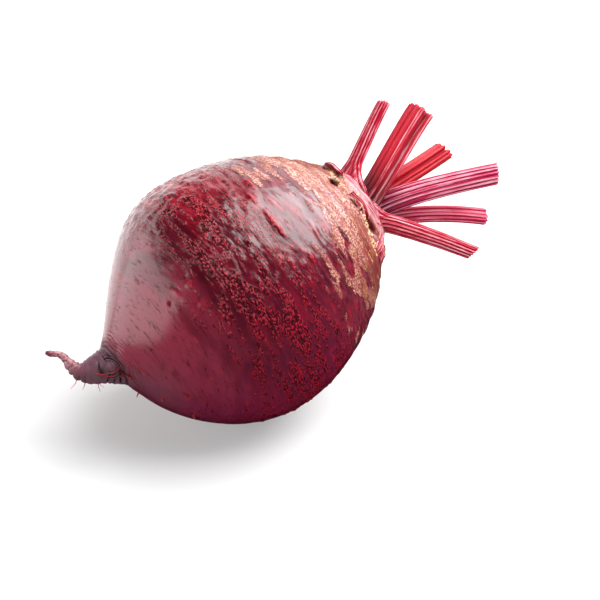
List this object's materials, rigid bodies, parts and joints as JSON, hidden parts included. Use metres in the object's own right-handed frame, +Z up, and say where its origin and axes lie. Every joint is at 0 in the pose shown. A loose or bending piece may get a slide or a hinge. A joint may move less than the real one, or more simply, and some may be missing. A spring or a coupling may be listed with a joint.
{
  "type": "beetroot",
  "caption": "Whole round beetroot lying on its side, with a bent tail, a scarred crown and short cut leaf stalks.",
  "frame": {"origin": "middle of the small flat spot that the root rests on", "axes": "+Z up, +X along the ground from the tail towards the crown and its leaf stalks"},
  "size_m": [0.1655, 0.0865, 0.0929],
  "materials": {
    "beet_skin": "satin",
    "stalk_flesh": "satin"
  },
  "bodies": {
    "root": {"beet_root": "beet_skin", "stalk_upper_near": "stalk_flesh", "stalk_upper_middle": "stalk_flesh", "stalk_back": "stalk_flesh", "stalk_middle": "stalk_flesh", "stalk_lower_back": "stalk_flesh", "stalk_lower_near": "stalk_flesh"}
  },
  "joints": []
}
